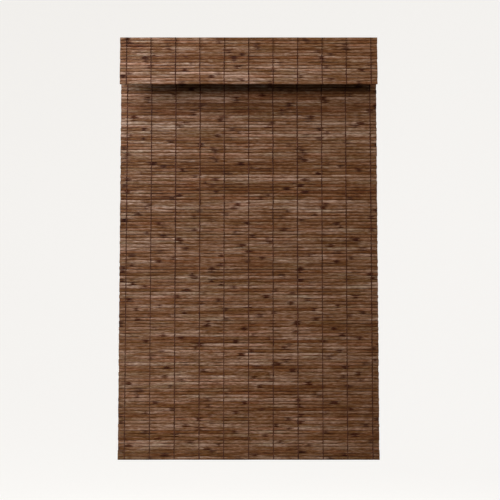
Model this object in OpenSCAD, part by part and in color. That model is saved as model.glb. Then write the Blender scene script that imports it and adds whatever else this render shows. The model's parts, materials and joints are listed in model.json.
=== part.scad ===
// Cordless flat-fold bamboo roman shade with valance, lowered.
// Millimetres. X to the right, Y to the back, Z up.
// Origin: centre of the bracket screw pattern on the top mounting face.

/* [Mat] */
// Width of the woven mats
mat_w = 902; // [860:1:960]
// Height of one slat with its gap
slat_pitch = 11.1; // [10.5:0.1:11.4]
// Open height between two slats
slat_gap = 0.8; // [0.4:0.1:1.2]
// Thickness of a slat
slat_t = 2; // [1.6:0.1:2.4]
// Height of the bevel along a slat's edge
slat_bevel = 1.6; // [0.8:0.1:2.4]
// Depth of the groove between two slats
groove_d = 0.6; // [0.3:0.1:0.7]
// Distance of the outer warp threads from the mat's ends
warp_margin = 23.5; // [15:0.5:40]
// Width of a warp thread
warp_w = 3.6; // [2.4:0.1:4.4]
// How far a warp thread stands proud of the slats
warp_t = 0.5; // [0.3:0.1:0.8]
// Clear space beside a warp thread where a light gap starts
gap_margin = 3; // [1:0.5:8]

/* [Panel] */
// Slats of the top section, behind the valance
top_slats = 13; // [13:1:15]
// Slats of half a fold
half_slats = 9; // [7:1:10]
// Slats of the bottom section
bottom_slats = 8; // [7:1:10]
// Slats of the hem's turned-up back
hem_slats = 3; // [2:1:4]

/* [Valance] */
// Slats of the valance
valance_slats = 15; // [12:1:15]
// Drop of the valance's top edge below the mounting face
valance_drop = 0.5; // [0.5:0.5:3]
// Height of the hook-and-loop tape
tape_h = 22; // [16:1:24]
// Thickness of the closed tape
tape_t = 2; // [1.5:0.1:3]
// Distance of the tape from the valance's ends
tape_end = 11; // [8:1:40]

/* [Headrail] */
// Depth of the channel, front to back
rail_d = 48; // [48:1:52]
// Height of the channel
rail_h = 32; // [31:1:36]
// Wall thickness of the channel
rail_wall = 1; // [0.8:0.1:1.2]
// Width of the turned-in lips
lip_w = 5; // [4:0.5:6]
// Distance of the channel's top below the mounting face
rail_drop = 3; // [2.4:0.1:4]
// Distance of the channel's ends from the mat's ends
rail_end = 4; // [3:0.5:10]
// Thickness of an end cap's plate
cap_t = 2; // [1.5:0.1:2.5]
// Depth of an end cap's plug
plug_d = 8; // [5:1:15]
// Clearance around an end cap's plug
plug_clear = 0.15; // [0.1:0.05:0.4]

/* [Brackets] */
// Distance between the two brackets
bracket_span = 500; // [300:10:560]
// Distance between the two screw holes of a bracket
screw_span = 16; // [12:1:20]
// Diameter of a screw hole
screw_d = 4.4; // [3.5:0.1:5]
// Width of a bracket
bracket_w = 30; // [20:1:40]
// Thickness of the bracket's steel
bracket_t = 1.2; // [1:0.1:1.6]
// Distance of a bracket's legs from the lips
leg_clear = 1.2; // [0.8:0.1:2]
// How far a bracket's feet reach under the lips
foot_reach = 2.5; // [1.5:0.5:3]

/* [Hanger] */
// Thickness of the panel's aluminium angle
hanger_t = 1.5; // [1:0.1:2]
// Length of the angle's hanging leg
hanger_h = 23; // [16:1:30]
// Length of the angle's level leg
hanger_d = 18; // [14:1:20]
// Distance of the angle's ends from the mat's ends
hanger_end = 11; // [6:1:40]
// Diameter of a rivet's shank
rivet_d = 3.2; // [2.4:0.1:4]
// Diameter of a rivet's head
rivet_head = 6.4; // [5:0.1:7]
// Clearance around a rivet
rivet_clear = 0.05; // [0.03:0.01:0.1]

/* [Lift] */
// Warp thread on each side that carries the rings, counted from the middle
lift_warp = 4; // [3:1:4]
// Distance of the cords behind the panel's middle plane
cord_back = 7; // [6.8:0.1:7.2]
// Clearance between a cradle and the headrail's back wall
cradle_clear = 0.5; // [0.2:0.1:1]
// Diameter of a lift cord
cord_d = 1.8; // [1.2:0.1:2]
// Outer diameter of a ring
ring_d = 10; // [9:0.5:10.5]
// Thickness of a ring
ring_t = 1.8; // [1.4:0.1:2.2]
// Clearance between a ring's foot and the mat
ring_clear = 0.3; // [0.2:0.1:0.5]
// Width of a ring's foot
ring_foot = 2.4; // [2:0.1:4]
// Diameter of a turning pin
pin_d = 5; // [4:0.5:6]
// Clearance between cord and turning pin
cord_clear = 0.05; // [0.03:0.01:0.1]
// Clearance of the turning pin in its cradle
pin_clear = 0.05; // [0.03:0.01:0.1]
// Height of a cradle's cheeks
cradle_h = 15; // [13:1:16]
// Depth of a cradle, front to back
cradle_d = 11; // [10:0.5:11]
// Thickness of a cradle's walls
cradle_wall = 2; // [1.5:0.1:2.2]
// Outer diameter of a cradle's spout
spout_d = 7.2; // [6.4:0.1:7.4]
// Length of a spout below the headrail
spout_l = 1.2; // [0.8:0.1:2]
// Clearance of a spout in the headrail
spout_clear = 0.2; // [0.1:0.05:0.4]

/* [Motor] */
// Teeth of each gear
teeth = 28; // [26:2:28]
// Gear module
gear_m = 1; // [0.98:0.01:1]
// Added distance between two gears
mesh_clear = 0.2; // [0.15:0.05:0.3]
// Flank clearance of a tooth, in degrees
backlash = 0.35; // [0.3:0.05:0.6]
// Thickness of a gear
gear_h = 4; // [3:0.5:4.5]
// Height of a cord spool's barrel
spool_h = 10; // [8:0.5:10]
// Radius of a cord spool's barrel
spool_r = 11.7; // [10.5:0.1:11.7]
// Thickness of a flange
flange_t = 1; // [0.8:0.1:1.2]
// Thickness of the motor's walls
motor_wall = 1.6; // [1.2:0.1:2]
// Corner radius of the motor's case
case_r = 3; // [2.5:0.1:3]
// Diameter of a post
post_d = 5; // [4:0.5:6]
// Clearance of a drum on its post
post_clear = 0.06; // [0.04:0.01:0.1]
// Free height above and below a drum
drum_play = 0.3; // [0.2:0.05:0.4]
// Radius of the output drum's barrel
drive_r = 6.5; // [5.5:0.1:7]
// Radius of the storage drum's barrel
store_r = 5; // [4.5:0.1:5.5]
// Outer radius of the spring's coil on the output drum
coil_drive_r = 11; // [10:0.1:11.4]
// Outer radius of the spring's coil on the storage drum
coil_store_r = 7.5; // [6.5:0.1:8]
// Thickness of the spring's free strip
spring_t = 0.4; // [0.3:0.05:0.6]
// Clearance between the spring and its drums
spring_clear = 0.3; // [0.2:0.05:0.4]

/* [Bottom bar] */
// Height of the bar
bar_h = 26; // [20:1:28]
// Thickness of the bar
bar_t = 11; // [9:0.5:11]
// Distance of the bar's ends from the mat's ends
bar_end = 6; // [4:1:20]
// Clearance of the bar in the hem
bar_clear = 0.2; // [0.1:0.05:0.4]
// Diameter of the cord holes in the bar
bar_hole = 2.8; // [2.4:0.1:3.2]
// Diameter of a cord button
button_d = 7; // [6:0.1:8]
// Height of a cord button
button_h = 3; // [2:0.5:5]
// Clearance around a cord button
button_clear = 0.2; // [0.1:0.05:0.4]

/* [Hidden] */
$fn = 32;
eps = 1;
folds = 6;
bend_steps = 3;
warp_half = 5;
bays = 2*warp_half;
warp_pitch = (mat_w - 2*warp_margin)/bays;
bay_l = warp_pitch - warp_w - 2*gap_margin;
half_t = slat_t/2;
outer_t = half_t + warp_t;

rail_top = -rail_drop;
rail_bottom = rail_top - rail_h;
rail_floor = rail_bottom + rail_wall;
rail_half = mat_w/2 - rail_end;
rail_in = rail_d/2 - rail_wall;
lip_y = rail_d/2 - lip_w;
lip_under = rail_top - rail_wall;

cord_y = rail_in - cradle_clear - cradle_d/2;
panel_y = cord_y - cord_back;
panel_top = rail_bottom - hanger_t + slat_gap/2;
half_fold = half_slats*slat_pitch;
valley_0 = panel_top - top_slats*slat_pitch;
valley_end = valley_0 - 2*folds*half_fold;
panel_bottom = valley_end - bottom_slats*slat_pitch;

valance_y = -rail_d/2 - tape_t - outer_t;
valance_top = -valance_drop;

hanger_back = panel_y + outer_t + hanger_t;
hanger_half = mat_w/2 - hanger_end;
rivet_y = hanger_back - hanger_d/2 - 2;
rivet_xs = [-0.9*hanger_half, -0.32*hanger_half, 0.32*hanger_half, 0.9*hanger_half];

lift_x = lift_warp*warp_pitch;
cord_r = cord_d/2;
turn_r = pin_d/2 + cord_r + cord_clear;
pin_x = lift_x - turn_r;
spout_end = rail_bottom - spout_l;
cord_joint = spout_end - 1;

gear_r = teeth*gear_m/2;
gear_space = 2*gear_r + mesh_clear;
gear_tip = gear_r + gear_m;
gear_root = gear_r - 1.25*gear_m;
gear_base = gear_r*cos(20);
post_x = [-1.5*gear_space, -0.5*gear_space, 0.5*gear_space, 1.5*gear_space];
post_r = post_d/2;
motor_y = cord_y - cord_r - spool_r;
motor_in = gear_tip + 1;
motor_half_x = 1.5*gear_space + motor_in + motor_wall;
motor_half_y = motor_in + motor_wall;
base_top = rail_floor + motor_wall;
gear_z = base_top + drum_play;
spool_z = gear_z + gear_h;
flange_z = spool_z + spool_h;
motor_top = flange_z + flange_t + drum_play;
flange_r = gear_r - 0.6;
cord_z = spool_z + spool_h/2;
pin_z = cord_z - turn_r;

bar_y = panel_y + outer_t;
hem_y = bar_y + bar_t + bar_clear + half_t;
bar_z = panel_bottom + slat_t + bar_clear;
button_top = bar_z + button_h;

function valley_z(k) = valley_0 - 2*k*half_fold;
function mountain_z(k) = valley_z(k) + half_fold;

// a repeatable spread between 0 and 1
function spread(i) = let (s = sin(i*127.1 + 31.7)*437.585) s - floor(s);

// the bay between two warp threads where slats i and i + 1 of a section stand apart
function gap_bay(section, i) = min(bays - 1, floor(bays*spread(section*17 + i*5)));
function gap_x(bay) = (bay - warp_half)*warp_pitch + warp_w/2 + gap_margin;

// one face of a mat, from the bottom up, for a face on side s of the middle plane
function mat_face(n, s) = concat(
    [[s*(half_t - groove_d), slat_gap/2], [s*half_t, slat_gap/2 + slat_bevel]],
    [for (i = [1 : 1 : n - 1]) each slat_seam(i, s)],
    [[s*half_t, n*slat_pitch - slat_gap/2 - slat_bevel]],
    [[s*(half_t - groove_d), n*slat_pitch - slat_gap/2]]
);
function slat_seam(i, s) = [
    [s*half_t, i*slat_pitch - slat_bevel],
    [s*(half_t - groove_d), i*slat_pitch],
    [s*half_t, i*slat_pitch + slat_bevel]
];
function reverse(a) = [for (i = [len(a) - 1 : -1 : 0]) a[i]];

// involute flank: polar angle of a point at radius r, in degrees
function flank(r) = let (a = sqrt(max(0, r*r/(gear_base*gear_base) - 1))) a*180/PI - atan(a);
function tooth_half(r) = 90/teeth - backlash/2 + flank(gear_r) - flank(r);
function tooth(i) = let (c = i*360/teeth) [
    polar(gear_root, c - tooth_half(gear_base)),
    polar(gear_r, c - tooth_half(gear_r)),
    polar(gear_tip, c - tooth_half(gear_tip)),
    polar(gear_tip, c + tooth_half(gear_tip)),
    polar(gear_r, c + tooth_half(gear_r)),
    polar(gear_root, c + tooth_half(gear_base))
];
function polar(r, a) = [r*cos(a), r*sin(a)];

// a quarter bend of radius r around point c, from angle a on
function bend(c, r, a) = [for (i = [0 : bend_steps]) c + polar(r, a + i*90/bend_steps)];

// outer line of the headrail's section, from the front lip round to the back lip
function rail_outline() = concat(
    bend([-rail_in, lip_under], rail_wall, 90),
    bend([-rail_in, rail_floor], rail_wall, 180),
    bend([rail_in, rail_floor], rail_wall, 270),
    bend([rail_in, lip_under], rail_wall, 0)
);

// a profile drawn in Y and Z, run along X from -half to half
module run_x(half) {
    rotate([90, 0, 90])
        translate([0, 0, -half])
            linear_extrude(height = 2*half)
                children();
}

// woven slats: a ridged sheet with one light gap between each two slats
module mat(n, section) {
    difference() {
        run_x(mat_w/2)
            polygon(concat(mat_face(n, -1), reverse(mat_face(n, 1))));
        for (i = [1 : 1 : n - 1])
            translate([gap_x(gap_bay(section, i)), -slat_t, i*slat_pitch - slat_gap/2])
                cube([bay_l, 2*slat_t, slat_gap]);
    }
}

// warp threads on one face of a mat of n slats, from height z0 up
module warp_face(n, s, z0 = slat_gap/2) {
    for (i = [-warp_half : warp_half])
        translate([i*warp_pitch, s*half_t, z0])
            linear_extrude(height = n*slat_pitch - slat_gap/2 - z0)
                polygon([
                    [-warp_w/2, 0],
                    [warp_w/2, 0],
                    [warp_w/2 - warp_t, s*warp_t],
                    [warp_t - warp_w/2, s*warp_t]
                ]);
}

module warp(n) {
    warp_face(n, -1);
    warp_face(n, 1);
}

module valance_mat() {
    color([0.47, 0.35, 0.27])
        translate([0, valance_y, valance_top - valance_slats*slat_pitch])
            mat(valance_slats, 1);
}

module valance_warp() {
    color([0.2, 0.13, 0.09])
        translate([0, valance_y, valance_top - valance_slats*slat_pitch])
            warp(valance_slats);
}

module top_mat() {
    color([0.38, 0.27, 0.19])
        translate([0, panel_y, valley_0])
            run_x(mat_w/2)
                polygon(concat(mat_face(top_slats, -1), reverse(mat_face(top_slats, 1))));
}

module top_warp() {
    color([0.2, 0.13, 0.09])
        translate([0, panel_y, valley_0])
            warp(top_slats);
}

module upper_mat(k) {
    color([0.42, 0.3, 0.21])
        translate([0, panel_y, mountain_z(k)])
            mat(half_slats, 2*k);
}

module upper_warp(k) {
    color([0.2, 0.13, 0.09])
        translate([0, panel_y, mountain_z(k)])
            warp(half_slats);
}

module lower_mat(k) {
    color([0.4, 0.28, 0.2])
        translate([0, panel_y, valley_z(k)])
            mat(half_slats, 2*k + 1);
}

module lower_warp(k) {
    color([0.2, 0.13, 0.09])
        translate([0, panel_y, valley_z(k)])
            warp(half_slats);
}

// front slats, one slat under the bar and the hem's turned-up back, in one sheet
module bottom_mat() {
    color([0.43, 0.31, 0.22]) {
        translate([0, panel_y, panel_bottom])
            mat(bottom_slats, 2*folds + 2);
        translate([0, hem_y, panel_bottom])
            run_x(mat_w/2)
                polygon(concat(mat_face(hem_slats, -1), reverse(mat_face(hem_slats, 1))));
        translate([-mat_w/2, panel_y - half_t + groove_d, panel_bottom])
            cube([mat_w, hem_y - panel_y + slat_t - 2*groove_d, slat_t]);
    }
}

module bottom_warp() {
    color([0.2, 0.13, 0.09]) {
        translate([0, panel_y, panel_bottom]) {
            warp_face(bottom_slats, -1);
            warp_face(bottom_slats, 1, slat_t + bar_clear);
        }
        translate([0, hem_y, panel_bottom])
            warp_face(hem_slats, 1);
    }
}

module bottom_bar() {
    color([0.62, 0.5, 0.36])
        difference() {
            translate([-mat_w/2 + bar_end, bar_y, bar_z])
                cube([mat_w - 2*bar_end, bar_t, bar_h]);
            for (s = [-1, 1])
                translate([s*lift_x, cord_y, bar_z - eps]) {
                    cylinder(d = bar_hole, h = bar_h + 2*eps);
                    cylinder(d = button_d + 2*button_clear, h = button_h + eps);
                }
        }
}

module cord_anchors() {
    color([0.85, 0.83, 0.78])
        for (s = [-1, 1])
            translate([s*lift_x, cord_y, bar_z])
                cylinder(d = button_d, h = button_h);
}

// rings on rear fold line k, one on each lift cord
module rings(k) {
    foot_y = bar_y + ring_clear;
    color([0.88, 0.86, 0.82])
        for (s = [-1, 1]) {
            translate([s*lift_x, cord_y, valley_z(k)])
                rotate_extrude()
                    translate([(ring_d - ring_t)/2, 0])
                        circle(d = ring_t, $fn = 8);
            translate([s*lift_x - ring_foot/2, foot_y, valley_z(k) - ring_t/3])
                cube([ring_foot, cord_y - ring_d/2 + ring_t/2 - foot_y, ring_t*2/3]);
        }
}

module lift_cord(s) {
    color([0.8, 0.76, 0.66])
        translate([s*lift_x, cord_y, button_top])
            cylinder(d = cord_d, h = cord_joint - button_top, $fn = 16);
}

// from the spool through the motor's end wall, over the turning pin and down
module headrail_cords() {
    start_x = post_x[3] + spool_r/3;
    color([0.8, 0.76, 0.66])
        for (s = [-1, 1])
            mirror([s < 0 ? 1 : 0, 0, 0]) {
                translate([start_x, cord_y, cord_z])
                    rotate([0, 90, 0])
                        cylinder(d = cord_d, h = pin_x - start_x, $fn = 16);
                translate([pin_x, cord_y, pin_z])
                    rotate([90, 0, 0])
                        rotate_extrude(angle = 90)
                            translate([turn_r, 0])
                                circle(d = cord_d, $fn = 16);
                translate([lift_x, cord_y, cord_joint])
                    cylinder(d = cord_d, h = pin_z - cord_joint, $fn = 16);
            }
}

module headrail() {
    color([0.36, 0.27, 0.2])
        difference() {
            run_x(rail_half)
                polygon(concat(
                    [[-lip_y, rail_top]],
                    rail_outline(),
                    [[lip_y, rail_top], [lip_y, lip_under]],
                    [[rail_in, lip_under], [rail_in, rail_floor]],
                    [[-rail_in, rail_floor], [-rail_in, lip_under]],
                    [[-lip_y, lip_under]]
                ));
            for (s = [-1, 1])
                translate([s*lift_x, cord_y, rail_bottom - eps])
                    cylinder(d = spout_d + 2*spout_clear, h = rail_wall + 2*eps);
            for (x = rivet_xs)
                translate([x, rivet_y, rail_bottom - eps])
                    cylinder(d = rivet_d + 2*rivet_clear, h = rail_wall + 2*eps);
        }
}

module end_cap(s) {
    in_y = rail_in - plug_clear;
    in_top = lip_under - plug_clear;
    in_bottom = rail_floor + plug_clear;
    color([0.3, 0.22, 0.16])
        mirror([s < 0 ? 1 : 0, 0, 0]) {
            translate([rail_half + cap_t/2, 0, 0])
                run_x(cap_t/2)
                    polygon(rail_outline());
            difference() {
                translate([rail_half - plug_d, -in_y, in_bottom])
                    cube([plug_d, 2*in_y, in_top - in_bottom]);
                translate([rail_half - plug_d - eps, cap_t - in_y, in_bottom + cap_t])
                    cube([plug_d + eps, 2*in_y - 2*cap_t, in_top - in_bottom - 2*cap_t]);
            }
        }
}

// bent steel strip whose feet carry the headrail by its lips
module bracket(s) {
    leg_out = lip_y - leg_clear;
    leg_in = leg_out - bracket_t;
    foot_y = lip_y + foot_reach;
    foot_z = lip_under - bracket_t;
    color([0.72, 0.72, 0.7])
        translate([s*bracket_span/2, 0, 0])
            difference() {
                run_x(bracket_w/2)
                    polygon([
                        [-leg_out, 0],
                        [leg_out, 0],
                        [leg_out, lip_under],
                        [foot_y, lip_under],
                        [foot_y, foot_z],
                        [leg_in, foot_z],
                        [leg_in, -bracket_t],
                        [-leg_in, -bracket_t],
                        [-leg_in, foot_z],
                        [-foot_y, foot_z],
                        [-foot_y, lip_under],
                        [-leg_out, lip_under]
                    ]);
                for (t = [-1, 1])
                    translate([0, t*screw_span/2, -bracket_t - eps])
                        cylinder(d = screw_d, h = bracket_t + 2*eps);
            }
}

module panel_hanger() {
    color([0.75, 0.75, 0.74])
        difference() {
            run_x(hanger_half)
                polygon([
                    [hanger_back - hanger_d, rail_bottom],
                    [hanger_back, rail_bottom],
                    [hanger_back, rail_bottom - hanger_h],
                    [hanger_back - hanger_t, rail_bottom - hanger_h],
                    [hanger_back - hanger_t, rail_bottom - hanger_t],
                    [hanger_back - hanger_d, rail_bottom - hanger_t]
                ]);
            for (x = rivet_xs)
                translate([x, rivet_y, rail_bottom - hanger_t - eps])
                    cylinder(d = rivet_d + 2*rivet_clear, h = hanger_t + 2*eps);
        }
}

module hanger_rivets() {
    head_h = 1.2;
    grip = hanger_t + rail_wall;
    color([0.78, 0.78, 0.77])
        for (x = rivet_xs)
            translate([x, rivet_y, rail_bottom - hanger_t]) {
                translate([0, 0, -head_h])
                    cylinder(d = rivet_head, h = head_h);
                cylinder(d = rivet_d, h = grip);
                translate([0, 0, grip])
                    cylinder(d = rivet_head, h = head_h);
            }
}

module valance_tape() {
    color([0.24, 0.18, 0.14])
        translate([-mat_w/2 + tape_end, -rail_d/2 - tape_t, rail_top - rail_h/2 - tape_h/2])
            cube([mat_w - 2*tape_end, tape_t, tape_h]);
}

module cradle(s) {
    back_x = turn_r + pin_d;
    front_x = spout_d/2 + cradle_wall;
    color([0.9, 0.89, 0.85])
        difference() {
            union() {
                translate([s > 0 ? lift_x - back_x : -lift_x - front_x, cord_y - cradle_d/2, rail_floor])
                    cube([back_x + front_x, cradle_d, cradle_wall]);
                for (t = [-1, 1])
                    translate([
                        s > 0 ? lift_x - back_x : -lift_x - front_x,
                        cord_y + t*(cradle_d - cradle_wall)/2 - cradle_wall/2,
                        rail_floor
                    ])
                        cube([back_x + front_x, cradle_wall, cradle_h]);
                translate([s*lift_x, cord_y, spout_end])
                    cylinder(d = spout_d, h = rail_floor - spout_end + cradle_wall);
            }
            translate([s*lift_x, cord_y, spout_end - eps])
                cylinder(d = 2*cord_d, h = rail_floor - spout_end + cradle_wall + 2*eps);
            translate([s*pin_x, cord_y + cradle_d/2 + eps, pin_z])
                rotate([90, 0, 0])
                    cylinder(d = pin_d + 2*pin_clear, h = cradle_d + 2*eps);
        }
}

module cradle_pins() {
    color([0.7, 0.7, 0.68])
        for (s = [-1, 1])
            translate([s*pin_x, cord_y + cradle_d/2, pin_z])
                rotate([90, 0, 0])
                    cylinder(d = pin_d, h = cradle_d);
}

module gear(phase) {
    rotate([0, 0, phase*180/teeth])
        linear_extrude(height = gear_h)
            polygon([for (i = [0 : teeth - 1]) each tooth(i)]);
}

module post_bore() {
    translate([0, 0, -eps])
        cylinder(r = post_r + post_clear, h = gear_h + spool_h + flange_t + 2*eps);
}

// gear, barrel and top flange turning on post i
module drum(i, barrel_r) {
    translate([post_x[i], motor_y, gear_z])
        difference() {
            union() {
                gear(i % 2);
                cylinder(r = barrel_r, h = gear_h + spool_h);
                translate([0, 0, gear_h + spool_h])
                    cylinder(r = flange_r, h = flange_t);
            }
            post_bore();
        }
}

module spool_left() {
    color([0.86, 0.84, 0.78])
        drum(0, spool_r);
}

module spool_right() {
    color([0.86, 0.84, 0.78])
        drum(3, spool_r);
}

module drive_drum() {
    color([0.25, 0.3, 0.36])
        drum(1, drive_r);
}

module idler_gear() {
    color([0.86, 0.84, 0.78])
        translate([post_x[2], motor_y, gear_z])
            difference() {
                gear(0);
                post_bore();
            }
}

module storage_drum() {
    color([0.25, 0.3, 0.36])
        translate([post_x[2], motor_y, spool_z + drum_play])
            difference() {
                union() {
                    cylinder(r = store_r, h = spool_h - drum_play);
                    translate([0, 0, spool_h - drum_play])
                        cylinder(r = flange_r, h = flange_t);
                }
                post_bore();
            }
}

// flat spring: a coil on each drum and the free strip that crosses between them
module spring_band() {
    h = spool_h - 2*spring_clear - drum_play;
    r1 = coil_drive_r - spring_t/2;
    r2 = coil_store_r - spring_t/2;
    a = acos((r1 + r2)/gear_space);
    p1 = [post_x[1] + r1*cos(a), r1*sin(a)];
    p2 = [post_x[2] - r2*cos(a), -r2*sin(a)];
    strip = norm(p2 - p1);
    color([0.6, 0.62, 0.65])
        translate([0, motor_y, spool_z + drum_play + spring_clear]) {
            coil(post_x[1], drive_r, coil_drive_r, h);
            coil(post_x[2], store_r, coil_store_r, h);
            translate([p1[0], p1[1], 0])
                rotate([0, 0, a - 90])
                    translate([0, -spring_t/2, 0])
                        cube([strip, spring_t, h]);
        }
}

module coil(x, r_in, r_out, h) {
    translate([x, 0, 0])
        difference() {
            cylinder(r = r_out, h = h);
            translate([0, 0, -eps])
                cylinder(r = r_in + spring_clear, h = h + 2*eps);
        }
}

// the motor case's round-cornered plan, drawn in by an inset on every side
module case_plan(inset) {
    r = case_r - inset;
    x = motor_half_x - case_r;
    y = motor_half_y - case_r;
    polygon(concat(
        bend([x, y], r, 0),
        bend([-x, y], r, 90),
        bend([-x, -y], r, 180),
        bend([x, -y], r, 270)
    ));
}

module motor_base() {
    color([0.82, 0.81, 0.77]) {
        difference() {
            translate([0, motor_y, rail_floor])
                linear_extrude(height = motor_top - rail_floor)
                    case_plan(0);
            translate([0, motor_y, base_top])
                linear_extrude(height = motor_top - base_top + eps)
                    case_plan(motor_wall);
            for (s = [-1, 1])
                translate([s*(motor_half_x - motor_wall/2), cord_y, cord_z])
                    rotate([0, 90, 0])
                        cylinder(d = 2*cord_d, h = 2*motor_wall, center = true);
        }
        for (x = post_x)
            translate([x, motor_y, base_top - motor_wall/2])
                cylinder(d = post_d, h = motor_top + motor_wall/2 - base_top + motor_wall/2);
    }
}

module motor_cover() {
    color([0.82, 0.81, 0.77])
        translate([0, motor_y, motor_top])
            difference() {
                linear_extrude(height = motor_wall)
                    case_plan(0);
                for (x = post_x)
                    translate([x, 0, -eps])
                        cylinder(r = post_r + post_clear, h = motor_wall + 2*eps);
            }
}

headrail();
end_cap(-1);  // end_cap_left
end_cap(1);  // end_cap_right
bracket(-1);  // bracket_left
bracket(1);  // bracket_right
motor_base();
motor_cover();
spool_left();
drive_drum();
idler_gear();
storage_drum();
spool_right();
spring_band();
cradle(-1);  // cradle_left
cradle(1);  // cradle_right
cradle_pins();
headrail_cords();
lift_cord(-1);  // lift_cord_left
lift_cord(1);  // lift_cord_right
panel_hanger();
hanger_rivets();
valance_tape();
valance_mat();
valance_warp();
top_mat();
top_warp();
bottom_mat();
bottom_warp();
bottom_bar();
cord_anchors();
for (k = [1 : folds]) {
    upper_mat(k);
    upper_warp(k);
    lower_mat(k);
    lower_warp(k);
    rings(k);
}
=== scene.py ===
"""Looks of a cordless bamboo roman shade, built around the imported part. Metres, the part's own frame."""
import json
import math

import bpy
from mathutils import Matrix, Vector

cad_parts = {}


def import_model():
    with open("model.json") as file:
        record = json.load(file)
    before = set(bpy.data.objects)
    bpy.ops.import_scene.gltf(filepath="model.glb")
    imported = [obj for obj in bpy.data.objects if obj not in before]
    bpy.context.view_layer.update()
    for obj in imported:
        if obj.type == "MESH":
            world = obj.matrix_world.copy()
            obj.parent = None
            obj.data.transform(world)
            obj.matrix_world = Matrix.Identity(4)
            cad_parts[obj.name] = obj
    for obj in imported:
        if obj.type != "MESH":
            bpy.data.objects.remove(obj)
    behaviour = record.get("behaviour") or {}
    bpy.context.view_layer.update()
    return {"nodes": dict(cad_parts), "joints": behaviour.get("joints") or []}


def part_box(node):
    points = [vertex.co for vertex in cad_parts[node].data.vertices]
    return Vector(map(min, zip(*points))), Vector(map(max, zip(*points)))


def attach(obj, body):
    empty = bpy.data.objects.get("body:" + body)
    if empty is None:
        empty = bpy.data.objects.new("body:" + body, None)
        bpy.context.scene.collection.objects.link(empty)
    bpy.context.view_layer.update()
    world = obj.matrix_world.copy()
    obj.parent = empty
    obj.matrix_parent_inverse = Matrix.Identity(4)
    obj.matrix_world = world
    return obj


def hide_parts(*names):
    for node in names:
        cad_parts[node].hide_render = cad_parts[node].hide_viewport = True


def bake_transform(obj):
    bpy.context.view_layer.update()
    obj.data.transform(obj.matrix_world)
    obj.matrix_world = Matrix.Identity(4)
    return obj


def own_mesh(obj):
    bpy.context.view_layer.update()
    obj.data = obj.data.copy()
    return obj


MM = 0.001
SEED = 11
FOLDS = 6

# slats: size and mesh
SLAT_PITCH = 11.1 * MM
SLAT_GAP = 0.8 * MM
SLAT_THICK = 2.0 * MM
SLAT_STEPS = 90
SLAT_SIDES = 18
HEM_SLATS = 3

# cross-section of a slat, in shares of its half height and half thickness
EDGE_SQUARENESS = 0.62
FACE_SQUARENESS = 0.8
BACK_FULLNESS = 1.02
FRONT_TAPER = 0.14
CROWN = 0.3

# how one slat differs from the next: shares of its size, lean in radians, waves along it and their scale
LENGTH_SHARES = (0.9965, 1.0)
HEIGHT_SHARES = (1.00, 1.04)
LEAN = 0.035
SHARED_BOW, SHARED_BOW_SCALE = 1.3 * MM, 6.0
OWN_BOW, OWN_BOW_SCALE = 0.35 * MM, 8.0
RIPPLE, RIPPLE_SCALE = 0.5 * MM, 9.0

# step through the noise from one slat's own waves to the next
WAVE_STRIDE = 3.7

# bamboo nodes along a slat; the count of internodes starts where it stays above zero
NODE_SPACING = 0.31
NODE_COUNT_START = 40.0
NODE_COUNT_SPREAD = 17.0
NODE_REACH = 9 * MM
NODE_SWELL = 0.25 * MM

# thin lips of the slats beside a fold line
LIP_LENGTH = 1.3 * MM
LIP_SHARPNESS = 12.0

# warp threads, which stand a little proud of the slats as packed
WARP_LINES = 11
WARP_MARGIN = 23.5 * MM
WARP_PROUD = SLAT_THICK / 4
WARP_STEPS_PER_SLAT = 8
STRAND_W = 4.2 * MM
STRAND_T = 0.9 * MM
STRAND_SIDES = 6
STRAND_HUG = 1.9
STRAND_TWIST = 0.5 * MM
SWAY, SWAY_PATTERN, SWAY_SCALE = 5 * MM, 2.0, 7.0
LOOSENESS, LOOSE_PATTERN, LOOSE_SCALE = 0.3, 5.0, 45.0

# stitches over fold lines and ties of the rings
STITCH_LENGTH = 7 * MM
STITCH_T = STRAND_T * 0.6
STITCH_STEPS = 13
TIE_LENGTH = 8 * MM
TIE_W = 1.6 * MM
TIE_T = 0.55 * MM

# lift cords
CORD_SIDES = 14
CORD_RINGS = 120

# the middle band of a noise, which is spread over the whole range
NOISE_LOW, NOISE_HIGH = 0.3, 0.7

# bamboo patterns: stretch along x, y and z, distance from the slat's own pattern, detail
BAMBOO_PATTERNS = {
    "drift": ((9.0, 30.0, 60.0), 0.0, 3.0),
    "fleck": ((60.0, 120.0, 420.0), 0.0, 3.0),
    "fibre": ((16.0, 300.0, 1000.0), 0.0, 3.0),
    "hue": ((7.0, 40.0, 70.0), 40.0, 2.0),
    "ragged": ((14.0, 60.0, 520.0), 20.0, 4.0),
    "strength": ((2.0, 0.0, 0.0), 7.0, 2.0),
    "pale": ((30.0, 60.0, 700.0), 90.0, 2.0),
    "seam_stain_and_shade": ((16.0, 0.0, 0.0), 60.0, 3.0),
}

# step through the noise over the whole range of slat phases
PATTERN_STRIDE = 131.0

# bamboo stain: what each pattern adds to the level, and the colours from dark to light
BAMBOO_SHARES = {"tone": 0.145, "stalk": 0.165, "drift": 0.20, "fleck": 0.26, "fibre": 0.21}
BAMBOO_STAIN = (
    (0.17, (0.042, 0.0085, 0.0004)),
    (0.40, (0.097, 0.0350, 0.0080)),
    (0.58, (0.162, 0.0815, 0.0420)),
    (0.78, (0.316, 0.2000, 0.1350)),
)
WARM_TINT = (1.04, 0.92, 0.86)
COOL_TINT = (0.93, 1.00, 0.95)
TINT_SPREAD = 0.18
FIBRE_BAND = (0.2, 0.8)
BAMBOO_SHEEN = (0.36, 0.54)
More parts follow.
